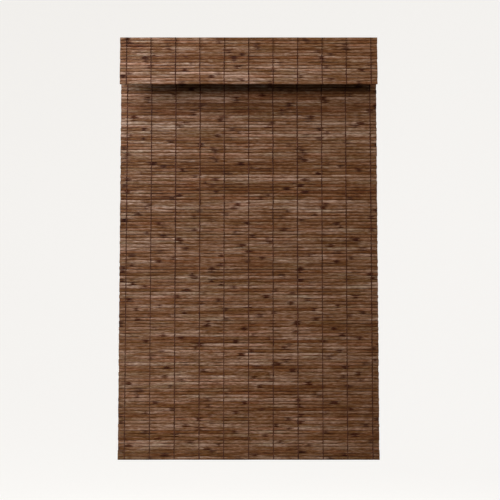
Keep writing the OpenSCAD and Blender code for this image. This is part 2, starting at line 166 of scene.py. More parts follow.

# node marks, pale flecks, and seams darkened partly by stain and partly by painted shade between slats
MARK_TINT = (0.26, 0.14, 0.08)
MARK_RAGGED = 85 * MM
MARK_OUTER, MARK_INNER = 13 * MM, 4 * MM
MARK_STRENGTH_BAND = (0.32, 0.56)
MARK_WEAKEST = 0.3
PALE_TINT = (1.75, 1.85, 1.95)
PALE_OUTER, PALE_INNER = 50 * MM, 10 * MM
PALE_NEAR_NODE = 0.06
PALE_BAND = (0.66, 0.74)
# the seam tint is part stain on the split edges and part painted shade in the grooves between slats
SEAM_STAIN_AND_SHADE_TINT = (0.17, 0.09, 0.048)
SEAM_STAIN_AND_SHADE_BAND = (0.655, 1.025)

# shine of bamboo and yarn, and the roughness range of metal and coats
DULL_SPECULAR = 0.1
METAL_ROUGH_SPREAD = 0.12
COAT_ROUGH_SPREAD = 0.1

# camera
CAMERA_AT = (4.7 * MM, -3.29, -0.9685)
CAMERA_LIFT = math.radians(3.88)
CAMERA_LENS = 68.2
SENSOR_W = 36.0

# round backdrop
FLOOR_Z = -2.6
ROOM_RADIUS = 8.0
ROOM_TOP = 9.0
ROOM_SWEEP = 2.5
ROOM_ARC_STEPS = 12
ROOM_SIDES = 64
ROOM_GLOW_COLOUR = (1.0, 0.98, 0.95, 1.0)
BACKDROP_DARK = (0.29, 0.285, 0.275)
BACKDROP_LIGHT = (0.31, 0.305, 0.295)
BACKDROP_GLOW = 0.84
WORLD_GLOW = 0.92
WORLD_AMBIENT = 0.02

# lamps: place, aim, width and height, watts, colour, spread in degrees
LAMPS = {
    "ceiling": ((-1.2, -0.7, 2.4), (0, -0.1, -1.0), (1.0, 0.3), 140, (0.94, 1.0, 1.10), 180),
    "key": ((-1.4, -1.8, 1.1), (0, 0, -0.7), (1.1, 1.0), 42, (0.88, 1.0, 1.20), 180),
    "graze": ((-1.5, -0.35, 0.3), (0, 0, -0.7), (0.3, 0.5), 46, (0.85, 1.0, 1.26), 180),
    "low": ((-1.4, -1.2, -0.9), (0, 0, -1.5), (0.5, 0.5), 2.8, (0.88, 1.0, 1.14), 60),
    "fill": ((1.5, -2.2, 0.9), (0.25, 0, -0.9), (0.8, 0.8), 19, (1.28, 0.95, 0.60), 180),
    "rear": ((1.2, 3.2, 1.6), (0, 0, -0.7), (1.6, 1.6), 120, (1.0, 0.98, 0.95), 180),
}


class Wiring:
    """Short calls that add nodes to one node tree and join them."""

    def __init__(self, tree):
        self.tree = tree

    def put(self, socket, value):
        """Join another node's output to a socket, or set the socket's own value."""
        if isinstance(value, bpy.types.NodeSocket):
            self.tree.links.new(value, socket)
        elif value is not None:
            socket.default_value = value

    def add(self, kind, inputs=None, **settings):
        """A new node with these inputs and settings."""
        node = self.tree.nodes.new(kind)
        for name, value in settings.items():
            setattr(node, name, value)
        for key, value in (inputs or {}).items():
            self.put(node.inputs[key], value)
        return node

    def calc(self, operation, a, b=None, c=None):
        """One step of arithmetic on up to three values."""
        inputs = {i: v for i, v in enumerate((a, b, c)) if v is not None}
        return self.add("ShaderNodeMath", inputs, operation=operation).outputs[0]

    def plus(self, a, b):
        """a plus b."""
        return self.calc("ADD", a, b)

    def minus(self, a, b):
        """a minus b."""
        return self.calc("SUBTRACT", a, b)

    def times(self, a, b):
        """a times b."""
        return self.calc("MULTIPLY", a, b)

    def times_plus(self, a, b, c):
        """a times b, plus c."""
        return self.calc("MULTIPLY_ADD", a, b, c)

    def weigh(self, parts):
        """The sum of values, each times its share."""
        total = None
        for value, share in parts:
            part = self.times(value, share)
            total = part if total is None else self.plus(total, part)
        return total

    def xyz(self, x=0.0, y=0.0, z=0.0):
        """A vector of three values."""
        return self.add("ShaderNodeCombineXYZ", {"X": x, "Y": y, "Z": z}).outputs[0]

    def split(self, vector):
        """The three values of a vector."""
        return self.add("ShaderNodeSeparateXYZ", {0: vector}).outputs

    def noise(self, vector, pattern, scale=1.0, detail=2.0):
        """Smooth noise from 0 to 1; each pattern number gives another one."""
        inputs = {"Vector": vector, "W": pattern, "Scale": scale, "Detail": detail}
        return self.add("ShaderNodeTexNoise", inputs, noise_dimensions="4D").outputs[0]

    def swing(self, vector, pattern, scale):
        """Smooth noise about zero."""
        return self.minus(self.noise(vector, pattern, scale), 0.5)

    def remap(self, value, low, high, to_low=0.0, to_high=1.0):
        """A soft step from one value to another between two limits."""
        inputs = {"Value": value, "From Min": low, "From Max": high, "To Min": to_low, "To Max": to_high}
        return self.add("ShaderNodeMapRange", inputs, interpolation_type="SMOOTHSTEP").outputs[0]

    def spread(self, noise, to_low=0.0, to_high=1.0):
        """The middle band of a noise, spread over a range."""
        return self.remap(noise, NOISE_LOW, NOISE_HIGH, to_low, to_high)

    def seen(self):
        """1 for rays from the camera and for reflections, 0 for scattered light."""
        rays = self.add("ShaderNodeLightPath").outputs
        reflected = self.calc("MAXIMUM", rays["Is Glossy Ray"], rays["Is Transmission Ray"])
        return self.calc("MAXIMUM", rays["Is Camera Ray"], reflected)


# geometry trees

NUMBER, WHOLE, MATERIAL = "NodeSocketFloat", "NodeSocketInt", "NodeSocketMaterial"


class Geometry(Wiring):
    """A geometry tree with named inputs that ends in realized instances and one material."""

    def __init__(self, name, sockets):
        super().__init__(bpy.data.node_groups.new(name, "GeometryNodeTree"))
        face = self.tree.interface
        face.new_socket("Geometry", in_out="OUTPUT", socket_type="NodeSocketGeometry")
        for label, kind in sockets.items():
            face.new_socket(label, in_out="INPUT", socket_type=kind)
        self.given = self.add("NodeGroupInput").outputs
        self.out = self.add("NodeGroupOutput")

    def rand(self, low, high, number, seed):
        """A random value between two limits, the same each time for one number and seed."""
        node = self.add("FunctionNodeRandomValue", data_type="FLOAT")
        float_min, float_max, identity, seeding = 2, 3, 7, 8
        for index, value in ((float_min, low), (float_max, high), (identity, number), (seeding, seed)):
            self.put(node.inputs[index], value)
        return node.outputs[1]

    def store(self, geometry, name, value, domain="INSTANCE"):
        """A number kept under a name on each instance, or on each point."""
        inputs = {"Geometry": geometry, "Name": name, "Value": value}
        node = self.add("GeometryNodeStoreNamedAttribute", inputs, data_type="FLOAT", domain=domain)
        return node.outputs[0]

    def read(self, name):
        """The number kept under a name."""
        return self.add("GeometryNodeInputNamedAttribute", {"Name": name}, data_type="FLOAT").outputs[0]

    def position(self):
        """The x, y and z of each point."""
        return self.split(self.add("GeometryNodeInputPosition").outputs[0])

    def index(self):
        """Each point's place in the row, from 0."""
        return self.add("GeometryNodeInputIndex").outputs[0]

    def power(self, value, exponent):
        """The value's size raised to the exponent, with its sign kept."""
        size = self.calc("POWER", self.calc("ABSOLUTE", value), exponent)
        return self.times(self.calc("SIGN", value), size)

    def move(self, geometry, position=None, offset=None):
        """Points put at a position or shifted by an offset."""
        inputs = {"Geometry": geometry, "Position": position, "Offset": offset}
        return self.add("GeometryNodeSetPosition", inputs).outputs[0]

    def line(self, start, end, count):
        """A straight curve with this many points."""
        line = self.add("GeometryNodeCurvePrimitiveLine", {"Start": start, "End": end}).outputs[0]
        return self.add("GeometryNodeResampleCurve", {"Curve": line, "Count": count}, mode="COUNT").outputs[0]

    def circle(self, sides):
        """A round profile of radius 1."""
        inputs = {"Resolution": sides, "Radius": 1.0}
        return self.add("GeometryNodeCurvePrimitiveCircle", inputs).outputs[0]

    def sweep(self, curve, profile):
        """A closed solid with this profile along a curve."""
        inputs = {"Curve": curve, "Profile Curve": profile, "Fill Caps": True}
        return self.add("GeometryNodeCurveToMesh", inputs).outputs[0]

    def row(self, count, start, step):
        """Points at equal steps."""
        inputs = {"Count": count, "Start Location": start, "Offset": step}
        return self.add("GeometryNodeMeshLine", inputs, mode="OFFSET").outputs[0]

    def repeat(self, points, shape, rotation=None, scale=None):
        """One instance of a shape on each point."""
        inputs = {"Points": points, "Instance": shape, "Rotation": rotation, "Scale": scale}
        return self.add("GeometryNodeInstanceOnPoints", inputs).outputs[0]

    def realize(self, geometry):
        """Plain geometry in place of instances."""
        return self.add("GeometryNodeRealizeInstances", {"Geometry": geometry}).outputs[0]

    def end(self, geometry):
        """Smooth shading and the tree's material; returns the finished tree."""
        inputs = {"Geometry": geometry, "Shade Smooth": True}
        smooth = self.add("GeometryNodeSetShadeSmooth", inputs).outputs[0]
        inputs = {"Geometry": smooth, "Material": self.given["Material"]}
        self.put(self.out.inputs[0], self.add("GeometryNodeSetMaterial", inputs).outputs[0])
        return self.tree


def node_turns(wiring, x, phase):
    """Place along a slat, counted in internodes."""
    start = wiring.times_plus(phase, NODE_COUNT_SPREAD, NODE_COUNT_START)
    return wiring.plus(wiring.calc("DIVIDE", x, NODE_SPACING), start)


def node_distance(wiring, x, phase):
    """Distance along a slat from the nearest bamboo node."""
    share = wiring.minus(wiring.calc("FRACT", node_turns(wiring, x, phase)), 0.5)
    return wiring.times(wiring.calc("ABSOLUTE", share), NODE_SPACING)


def slat_profile(net):
    """Cross-section of a slat: a flat back that meets the next slat, and a crowned front."""
    across, up, _ = net.position()
    taper = net.times_plus(net.calc("MINIMUM", across, 0.0), FRONT_TAPER, BACK_FULLNESS)
    up = net.times(net.power(up, EDGE_SQUARENESS), taper)
    crown = net.minus(1.0, net.times(net.times(up, up), CROWN))
    across = net.times(net.power(across, FACE_SQUARENESS), crown)
    across = net.times(across, net.times(net.given["Thickness"], 0.5))
    profile = net.store(net.circle(SLAT_SIDES), "rim", net.calc("ABSOLUTE", up), "POINT")
    # the sweep turns the profile's upper side down
    profile = net.store(profile, "edge", net.times(up, -1.0), "POINT")
    up = net.times(up, net.times(net.given["Pitch"], 0.5))
    return net.move(profile, position=net.xyz(across, up))


def slat_rows(net, slat):
    """One instance for each slat, with its own length, lean and numbers."""
    given = net.given
    start = net.xyz(0.0, 0.0, net.times(given["Pitch"], 0.5))
    rows = net.row(given["Count"], start, net.xyz(0.0, 0.0, given["Pitch"]))
    number = net.plus(net.index(), given["First"])

    def draw(low, high, turn):
        """A random number of the slat's own; each turn is another draw."""
        return net.rand(low, high, number, net.plus(given["Seed"], turn))

    length = draw(*LENGTH_SHARES, 0.0)
    height = draw(*HEIGHT_SHARES, 1.0)
    lean = net.plus(given["Tilt"], draw(-LEAN, LEAN, 2.0))
    slats = net.repeat(rows, slat, net.xyz(lean), net.xyz(length, 1.0, height))
    slats = net.store(slats, "tone", draw(0.0, 1.0, 3.0))
    slats = net.store(slats, "phase", draw(0.0, 1.0, 4.0))
    slats = net.store(slats, "slat", number)
    lowest = net.calc("COMPARE", net.index(), 0.0, 0.5)
    highest = net.calc("COMPARE", net.plus(net.index(), 1.0), given["Count"], 0.5)
    slats = net.store(slats, "lip_below", net.times(lowest, given["Lip below"]))
    return net.store(slats, "lip_above", net.times(highest, given["Lip above"]))


def slat_lip(net):
    """Shift in z of the edges that reach into the next section, so that a closed fold shows no slit."""
    edge = net.read("edge")
    tip = net.calc("POWER", net.calc("MINIMUM", net.calc("ABSOLUTE", edge), 1.0), LIP_SHARPNESS)
    above = net.times(net.calc("GREATER_THAN", edge, 0.0), net.read("lip_above"))
    below = net.times(net.calc("LESS_THAN", edge, 0.0), net.read("lip_below"))
    return net.times(tip, net.minus(above, below))


def slat_tree():
    """Split bamboo slats stacked upwards from z 0: crowned, slightly bowed, swollen at their nodes."""
    net = Geometry("bamboo_slats", {
        "Width": NUMBER, "Count": WHOLE, "Pitch": NUMBER, "Thickness": NUMBER, "Steps": WHOLE,
        "First": WHOLE, "Tilt": NUMBER, "Lip below": NUMBER, "Lip above": NUMBER, "Seed": WHOLE,
        "Material": MATERIAL,
    })
    half = net.times(net.given["Width"], 0.5)
    spine = net.line(net.xyz(net.times(half, -1.0)), net.xyz(half), net.given["Steps"])
    slat = net.sweep(spine, slat_profile(net))
    solid = net.realize(slat_rows(net, slat))
    # bowing along the slat and swelling at its nodes
    x, y, z = net.position()
    own = net.times(net.read("slat"), WAVE_STRIDE)
    shared_bow = net.swing(net.xyz(x, 0.0, z), 0.0, SHARED_BOW_SCALE)
    own_bow = net.swing(net.xyz(x), own, OWN_BOW_SCALE)
    ripple = net.swing(net.xyz(x, 1.0), own, RIPPLE_SCALE)
    near = net.remap(node_distance(net, x, net.read("phase")), NODE_REACH, 0.0, 0.0, NODE_SWELL)
    swell = net.times(net.calc("SIGN", y), near)
    shift_y = net.times_plus(ripple, RIPPLE, swell)
    shift_z = net.times_plus(shared_bow, SHARED_BOW, net.times(own_bow, OWN_BOW))
    shift_z = net.plus(slat_lip(net), shift_z)
    return net.end(net.move(solid, offset=net.xyz(0.0, shift_y, shift_z)))


def strand(net, path):
    """An oval strand along a path, as wide and thick as the tree's inputs say."""
    across, up, _ = net.position()
    half_w = net.times(net.given["Strand width"], 0.5)
    half_t = net.times(net.given["Strand thickness"], 0.5)
    place = net.xyz(net.times(across, half_w), net.times(up, half_t))
    return net.sweep(path, net.move(net.circle(STRAND_SIDES), position=place))


def line_places(net):
    """One point for each warp line, centred on x 0."""
    lines, spacing = net.given["Lines"], net.given["Spacing"]
    first = net.times(net.times(net.minus(lines, 1.0), spacing), -0.5)
    return net.row(lines, net.xyz(first), net.xyz(spacing))


def warp_tree():
    """Pairs of strands that twine around the slats, one pair for each warp line."""
    net = Geometry("warp_threads", {
        "Slats": WHOLE, "Pitch": NUMBER, "Lines": WHOLE, "Spacing": NUMBER, "Reach": NUMBER,
        "Strand width": NUMBER, "Strand thickness": NUMBER, "Material": MATERIAL,
    })
    given = net.given
    height = net.times(given["Slats"], given["Pitch"])
    points = net.plus(net.times(given["Slats"], WARP_STEPS_PER_SLAT), 1.0)
    spine = net.line(net.xyz(), net.xyz(0.0, 0.0, height), points)
    # each strand passes in front of one slat and behind the next
    _, _, z = net.position()
    turn = net.times(net.calc("DIVIDE", z, given["Pitch"]), math.pi)
    side = net.times(net.calc("SINE", turn), STRAND_HUG)
    side = net.calc("MAXIMUM", net.calc("MINIMUM", side, 1.0), -1.0)
    twist = net.times(net.calc("COSINE", turn), STRAND_TWIST)
    path = net.move(spine, offset=net.xyz(twist, net.times(side, given["Reach"])))
    twined = strand(net, path)
    lines = line_places(net)
    pair = net.add("GeometryNodeJoinGeometry")
    for turned in (0.0, math.pi):
        net.put(pair.inputs[0], net.repeat(lines, twined, net.xyz(0.0, 0.0, turned)))
    threads = net.store(pair.outputs[0], "axis", net.position()[0])
    solid = net.realize(threads)
    # the lines wander, and swell where the yarn is loose
    x, _, z = net.position()
    axis = net.read("axis")
    place = net.xyz(axis, 0.0, z)
    sway = net.swing(place, SWAY_PATTERN, SWAY_SCALE)
    loose = net.spread(net.noise(place, LOOSE_PATTERN, LOOSE_SCALE), -LOOSENESS, LOOSENESS)
    swell = net.times(net.minus(x, axis), loose)
    return net.end(net.move(solid, offset=net.xyz(net.times_plus(sway, SWAY, swell))))


def stitch_tree():
    """Short flat strands across a fold line, one on each warp line."""
    net = Geometry("fold_stitches", {
        "Length": NUMBER, "Lines": WHOLE, "Spacing": NUMBER, "Strand width": NUMBER,
        "Strand thickness": NUMBER, "Material": MATERIAL,
    })
    half = net.times(net.given["Length"], 0.5)
    low, high = net.xyz(0.0, 0.0, net.times(half, -1.0)), net.xyz(0.0, 0.0, half)
    stitch = strand(net, net.line(low, high, STITCH_STEPS))
    return net.end(net.realize(net.repeat(line_places(net), stitch)))


def add_object(name, data):
    """A new object in the scene."""
    made = bpy.data.objects.new(name, data)
    bpy.context.scene.collection.objects.link(made)
    return made


def grow(name, tree, values, place):
    """A plain mesh object made by a geometry tree with these input values, moved to its place."""
    carrier = add_object(name + "_tree", bpy.data.meshes.new(name + "_tree"))
    modifier = carrier.modifiers.new("grow", "NODES")
    modifier.node_group = tree
    sockets = {s.name: s.identifier for s in tree.interface.items_tree if s.in_out == "INPUT"}
    for label, value in values.items():
        modifier[sockets[label]] = value
    found = carrier.evaluated_get(bpy.context.evaluated_depsgraph_get())
    mesh = bpy.data.meshes.new_from_object(found)
    mesh.name = name
    carrier.modifiers.remove(modifier)
    bpy.data.objects.remove(carrier)
    mesh.transform(Matrix.Translation(place))
    return add_object(name, mesh)


# materials


class Finish(Wiring):
    """A material around one Principled shader, with object coordinates at hand."""

    def __init__(self, name):
        self.material = bpy.data.materials.new(name)
        self.material.use_nodes = True
        super().__init__(self.material.node_tree)
        self.shader = self.tree.nodes["Principled BSDF"].inputs
        self.place = self.add("ShaderNodeTexCoord").outputs["Object"]

    def set(self, name, value):
        """One of the shader's inputs, as a value or a link."""
        self.put(self.shader[name], value)

    def number(self, name):
        """An attribute of the piece's mesh."""
        return self.add("ShaderNodeAttribute", attribute_name=name).outputs["Fac"]

    def stretch(self, x, y, z):
        """Object coordinates, scaled by axis."""
        inputs = {0: self.place, 1: (x, y, z)}
        return self.add("ShaderNodeVectorMath", inputs, operation="MULTIPLY").outputs[0]

    def ramp(self, value, stops):
        """Colours from dark to light, each at its place on the way from 0 to 1."""
        node = self.add("ShaderNodeValToRGB", {"Fac": value})
        steps = node.color_ramp.elements
        while len(steps) < len(stops):
            steps.new(0.5)
        for step, (at, colour) in zip(steps, stops):
            step.position = at
            step.color = (*colour, 1.0)
        return node.outputs["Color"]

    def tint(self, colour, factor, share):
        """A colour multiplied by another, as far as the share says."""
        colour_a, colour_b, colour_out = 6, 7, 2
        inputs = {"Factor": share, colour_a: colour, colour_b: (*factor, 1.0)}
        mixed = self.add("ShaderNodeMix", inputs, data_type="RGBA", blend_type="MULTIPLY")
        return mixed.outputs[colour_out]

    def bump(self, height, strength, distance):
        """Fine relief on the surface."""
        inputs = {"Height": height, "Strength": strength, "Distance": distance}
        self.set("Normal", self.add("ShaderNodeBump", inputs).outputs[0])


def node_mark(look, grain, away):
    """Ragged dark dashes at the nodes, stronger on some slats."""
    reach = look.times_plus(look.minus(grain["ragged"], 0.5), -MARK_RAGGED, away)
    strength = look.remap(grain["strength"], *MARK_STRENGTH_BAND, MARK_WEAKEST, 1.0)
    return look.times(look.remap(reach, MARK_OUTER, MARK_INNER), strength)


def pale_fleck(look, grain, away):
    """Pale flecks, more of them beside a node."""
    near = look.remap(away, PALE_OUTER, PALE_INNER, 0.0, PALE_NEAR_NODE)
    return look.remap(look.plus(grain["pale"], near), *PALE_BAND)


def bamboo_finish():
    """Stained split bamboo: a tone for each slat and internode, streaks, fibre and ragged node marks."""
    look = Finish("stained_bamboo")
    x, _, _ = look.split(look.place)
    phase = look.number("phase")
    own = look.times(phase, PATTERN_STRIDE)
    grain = {
        name: look.noise(look.stretch(*stretch), look.plus(own, apart), detail=detail)
        for name, (stretch, apart, detail) in BAMBOO_PATTERNS.items()
    }
    internode = look.calc("FLOOR", look.plus(node_turns(look, x, phase), 0.5))
    stalk = look.add("ShaderNodeTexWhiteNoise", {"W": look.plus(internode, own)}, noise_dimensions="1D")
    levels = {name: look.spread(grain[name]) for name in ("drift", "fleck", "fibre")}
    levels.update(tone=look.number("tone"), stalk=stalk.outputs["Value"])
    level = look.weigh([(levels[name], share) for name, share in BAMBOO_SHARES.items()])
    colour = look.ramp(level, BAMBOO_STAIN)
    colour = look.tint(colour, WARM_TINT, look.remap(grain["hue"], 0.5, 0.5 + TINT_SPREAD))
    colour = look.tint(colour, COOL_TINT, look.remap(grain["hue"], 0.5, 0.5 - TINT_SPREAD))
    away = node_distance(look, x, phase)
    mark = node_mark(look, grain, away)
    colour = look.tint(colour, MARK_TINT, mark)
    colour = look.tint(colour, PALE_TINT, pale_fleck(look, grain, away))
    # stain along the split edges, with painted shade in the grooves between slats; more of both where the
    # seam stands open
    seam_stain_and_shade = look.remap(look.plus(look.minus(grain["seam_stain_and_shade"], 0.5), look.number("rim")), *SEAM_STAIN_AND_SHADE_BAND)
    look.set("Base Color", look.tint(colour, SEAM_STAIN_AND_SHADE_TINT, seam_stain_and_shade))
    sheen = look.remap(grain["fibre"], *FIBRE_BAND, *BAMBOO_SHEEN)
    look.set("Roughness", look.calc("MAXIMUM", sheen, look.calc("MAXIMUM", seam_stain_and_shade, mark)))
    look.set("Specular IOR Level", DULL_SPECULAR)
    look.bump(look.plus(grain["fibre"], grain["fleck"]), strength=0.5, distance=0.3 * MM)
    return look.material


def thread_finish(name, dark, light, plies):
    """Spun yarn: fine slanted plies, fuzz and wear."""
    look = Finish(name)
    x, y, z = look.split(look.place)
    slant = look.plus(look.times(z, plies), look.times(look.plus(x, y), plies))
    ply = look.times(look.plus(look.calc("SINE", slant), 1.0), 0.5)
    fuzz = look.noise(look.place, pattern=0.0, scale=900.0)
    worn = look.noise(look.stretch(30.0, 30.0, 55.0), pattern=3.0)
    level = look.weigh([(ply, 0.3), (fuzz, 0.3), (look.spread(worn), 0.4)])
    look.set("Base Color", look.ramp(level, [(0.2, dark), (0.8, light)]))
    look.set("Roughness", 0.85)
    look.set("Specular IOR Level", DULL_SPECULAR)
    look.bump(ply, strength=0.5, distance=0.3 * MM)
    return look.material


def metal_finish(name, dark, light, rough, grain):
    """Drawn or plated metal with fine lines along X."""
    look = Finish(name)
    lines = look.noise(look.stretch(12.0, 900.0, 900.0), pattern=0.0)
    cloud = look.noise(look.place, pattern=3.0, scale=30.0, detail=3.0)
    level = look.weigh([(lines, 0.6), (cloud, 0.4)])
    look.set("Base Color", look.ramp(level, [(0.3, dark), (0.7, light)]))
    look.set("Metallic", 1.0)
    look.set("Roughness", look.spread(cloud, rough, rough + METAL_ROUGH_SPREAD))
    look.bump(lines, strength=grain, distance=0.05 * MM)
    return look.material


def coat_finish(name, dark, light, rough, peel_scale, relief):
    """Paint or moulded plastic: faint clouds of tone and a fine orange-peel surface."""
    look = Finish(name)
    cloud = look.noise(look.place, pattern=1.0, scale=18.0, detail=3.0)
    peel = look.noise(look.place, pattern=5.0, scale=peel_scale)
    look.set("Base Color", look.ramp(cloud, [(0.3, dark), (0.7, light)]))
    look.set("Roughness", look.spread(peel, rough, rough + COAT_ROUGH_SPREAD))
    look.bump(peel, strength=relief, distance=0.1 * MM)
    return look.material


def tape_finish():
    """Hook-and-loop tape: matted loops."""
    look = Finish("loop_tape")
    loops = look.noise(look.place, pattern=0.0, scale=700.0, detail=4.0)
    dark, light = (0.012, 0.007, 0.004), (0.06, 0.036, 0.022)
    look.set("Base Color", look.ramp(loops, [(0.3, dark), (0.7, light)]))
    look.set("Roughness", 0.95)
    look.bump(loops, strength=0.8, distance=0.4 * MM)
    return look.material


def timber_finish():
    """Planed pale wood with grain along X."""
    look = Finish("planed_wood")
    grain = look.noise(look.stretch(5.0, 180.0, 180.0), pattern=0.0, detail=4.0)
    pores = look.noise(look.stretch(40.0, 900.0, 900.0), pattern=2.0)
    level = look.weigh([(grain, 0.7), (pores, 0.3)])
    dark, light = (0.24, 0.14, 0.075), (0.44, 0.30, 0.18)
    look.set("Base Color", look.ramp(level, [(0.3, dark), (0.7, light)]))
    look.set("Roughness", 0.6)
    look.bump(pores, strength=0.25, distance=0.15 * MM)
    return look.material


# woven mats


class Loom:
    """Weaves slats and warp threads with the trees and finishes that all sections share."""

    def __init__(self, bamboo, yarn):
        self.bamboo, self.yarn = bamboo, yarn
        self.slat_tree, self.warp_tree = slat_tree(), warp_tree()
        self.next_slat = 0

    def slats(self, name, width, count, place, tilt=0.0, lips=(0.0, 0.0)):
        """Slats stacked upwards from a place, each with the next number."""
        values = {
            "Width": width, "Count": count, "Pitch": SLAT_PITCH, "Thickness": SLAT_THICK,
            "Steps": SLAT_STEPS, "First": self.next_slat, "Tilt": tilt, "Lip below": lips[0],
            "Lip above": lips[1], "Seed": SEED, "Material": self.bamboo,
        }
        self.next_slat += count
        return grow(name, self.slat_tree, values, place)

    def threads(self, name, width, count, place):
        """Warp threads over this many slats."""
        values = {
            "Slats": count, "Pitch": SLAT_PITCH, "Lines": WARP_LINES, "Spacing": warp_spacing(width),
            "Reach": SLAT_THICK / 2 + STRAND_T / 4, "Strand width": STRAND_W,
            "Strand thickness": STRAND_T, "Material": self.yarn,
        }
        return grow(name, self.warp_tree, values, place)


def warp_spacing(width):
    """Distance between the warp lines of a mat."""
    return (width - 2 * WARP_MARGIN) / (WARP_LINES - 1)


def slat_count(node):
    """How many slats a warp node runs over."""
    low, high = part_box(node)
    return round((high.z - low.z + SLAT_GAP) / SLAT_PITCH)


def mat_sections():
    """Each woven section: its name, mat node, warp node and body, from the top down."""
    rows = [(name, f"{name}_mat", f"{name}_warp", "headrail") for name in ("valance", "top")]
    for k in range(1, FOLDS + 1):
        for half in ("upper", "lower"):
            rows.append((f"{half}_{k}", f"{half}_mat_{k}", f"{half}_warp_{k}", f"fold_{k}_{half}"))
    rows.append(("bottom", "bottom_mat", "bottom_warp", "bottom_section"))
    return rows


def section_lips(name):
    """Lips of a section's lowest and highest slat, where a fold line lies beside them."""
    below = 0.0 if name in ("valance", "bottom") else LIP_LENGTH
    above = 0.0 if name in ("valance", "top") else LIP_LENGTH
    return below, above


def finish_piece(made, body, slot, *nodes):
    """The body a piece rides on and the solids that it replaces; the slot argument is not used."""
    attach(made, body)
    if nodes:
        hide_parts(*nodes)


def build_mats(loom):
    """Slats and threads of every section, each replacing its plain solids."""
    for name, mat, warp, body in mat_sections():
        low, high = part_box(mat)
        width = high.x - low.x
        warp_low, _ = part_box(warp)
        hem = name == "bottom"
        count = slat_count(warp)
        middle = warp_low.y + WARP_PROUD + SLAT_THICK / 2
        floor = low.z if hem else low.z - SLAT_GAP / 2
        place = Vector((0, middle, floor))
        made = loom.slats(f"{name}_slats", width, count, place, lips=section_lips(name))
        finish_piece(made, body, "bamboo", mat)
        made = loom.threads(f"{name}_threads", width, count, place)
        finish_piece(made, body, "warp", warp)
        if hem:
            build_hem(loom, width, place, high.y, body)


def build_hem(loom, width, front, back, body):
    """The slat under the bottom bar and the turned-up back of the hem."""
    rear = Vector((0, back - SLAT_THICK / 2, front.z))
    under = Vector((0, (front.y + rear.y) / 2, front.z + SLAT_THICK / 2 - SLAT_PITCH / 2))
    made = loom.slats("hem_under_slat", width, 1, under, tilt=math.pi / 2)
    finish_piece(made, body, "bamboo")
    made = loom.slats("hem_back_slats", width, HEM_SLATS, rear)
    finish_piece(made, body, "bamboo")
    made = loom.threads("hem_back_threads", width, HEM_SLATS, rear)
    finish_piece(made, body, "warp")


def build_stitches(joints, yarn, tree):
    """Threads that carry on across each fold line, on the side where it closes."""
    low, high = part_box("top_mat")
    values = {
        "Length": STITCH_LENGTH, "Lines": WARP_LINES, "Spacing": warp_spacing(high.x - low.x),
        "Strand width": STRAND_W, "Strand thickness": STITCH_T, "Material": yarn,
    }
    for joint in joints:
        if "fold" not in joint["name"] and joint["name"] != "bottom_section":
            continue
        place = Vector(joint["pos_m"])
        made = grow(f"stitches_{joint['name']}", tree, values, place)
        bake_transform(made)


# lift cords and rings


def build_ring_ties(cord, tree):
    """The stitch that sews each ring to its fold line."""
    low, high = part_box("lift_cord_right")
    values = {
        "Length": TIE_LENGTH, "Lines": 2, "Spacing": low.x + high.x, "Strand width": TIE_W,
        "Strand thickness": TIE_T, "Material": cord,
    }
    for k in range(1, FOLDS + 1):
        ring_low, ring_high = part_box(f"rings_{k}")
        place = Vector((0, ring_low.y, (ring_low.z + ring_high.z) / 2))
        made = grow(f"ring_ties_{k}", tree, values, place)
        finish_piece(made, f"rings_{k}", "cord")


def ring_corners(rings, sides):
    """Each corner of stacked rings of points, with the next corner round the same ring."""
    for ring in range(rings):
        for side in range(sides):
            yield ring * sides + side, ring * sides + (side + 1) % sides


def smooth_sides(mesh):
    """Smooth shading on the quads of a round mesh, flat on its ends."""
    for face in mesh.polygons:
        face.use_smooth = len(face.vertices) == 4


def tube(name, bottom, top, radius, material):
    """A straight upright cord."""
    verts = []
    for ring in range(CORD_RINGS + 1):
        z = bottom.z + (top.z - bottom.z) * ring / CORD_RINGS
        for side in range(CORD_SIDES):
            angle = 2 * math.pi * side / CORD_SIDES
            verts.append((bottom.x + radius * math.cos(angle), bottom.y + radius * math.sin(angle), z))
    faces = [(a, b, b + CORD_SIDES, a + CORD_SIDES) for a, b in ring_corners(CORD_RINGS, CORD_SIDES)]
    faces.append(tuple(range(CORD_SIDES - 1, -1, -1)))
    faces.append(tuple(range(CORD_RINGS * CORD_SIDES, (CORD_RINGS + 1) * CORD_SIDES)))
    mesh = bpy.data.meshes.new(name)
    mesh.from_pydata(verts, [], faces)
    smooth_sides(mesh)
    mesh.materials.append(material)
    return add_object(name, mesh)


def build_cords(cord):
    """Hanging lift cords, as straight tubes riding on the headrail; the real cords shorten towards it as the
    shade rises.
    """
    for side in ("left", "right"):
        node = f"lift_cord_{side}"
        low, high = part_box(node)
        middle = (low + high) / 2
        bottom, top = Vector((middle.x, middle.y, low.z)), Vector((middle.x, middle.y, high.z))
        made = tube(f"braided_cord_{side}", bottom, top, (high.x - low.x) / 2, cord)
        finish_piece(made, "headrail", "cord", node)
        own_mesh(made)


# hardware that is shown as it was packed


def plastic_finishes():
    """Moulded plastic of the motor, its drums and the end caps."""
    ivory = coat_finish(
        "ivory_plastic", dark=(0.62, 0.59, 0.50), light=(0.70, 0.67, 0.58),
        rough=0.38, peel_scale=1500.0, relief=0.1)
    grey = coat_finish(
        "grey_plastic", dark=(0.040, 0.052, 0.068), light=(0.055, 0.070, 0.090),
        rough=0.4, peel_scale=1500.0, relief=0.1)
    brown = coat_finish(
        "brown_plastic", dark=(0.050, 0.027, 0.016), light=(0.064, 0.036, 0.021),
        rough=0.45, peel_scale=1500.0, relief=0.15)
    return ivory, grey, brown


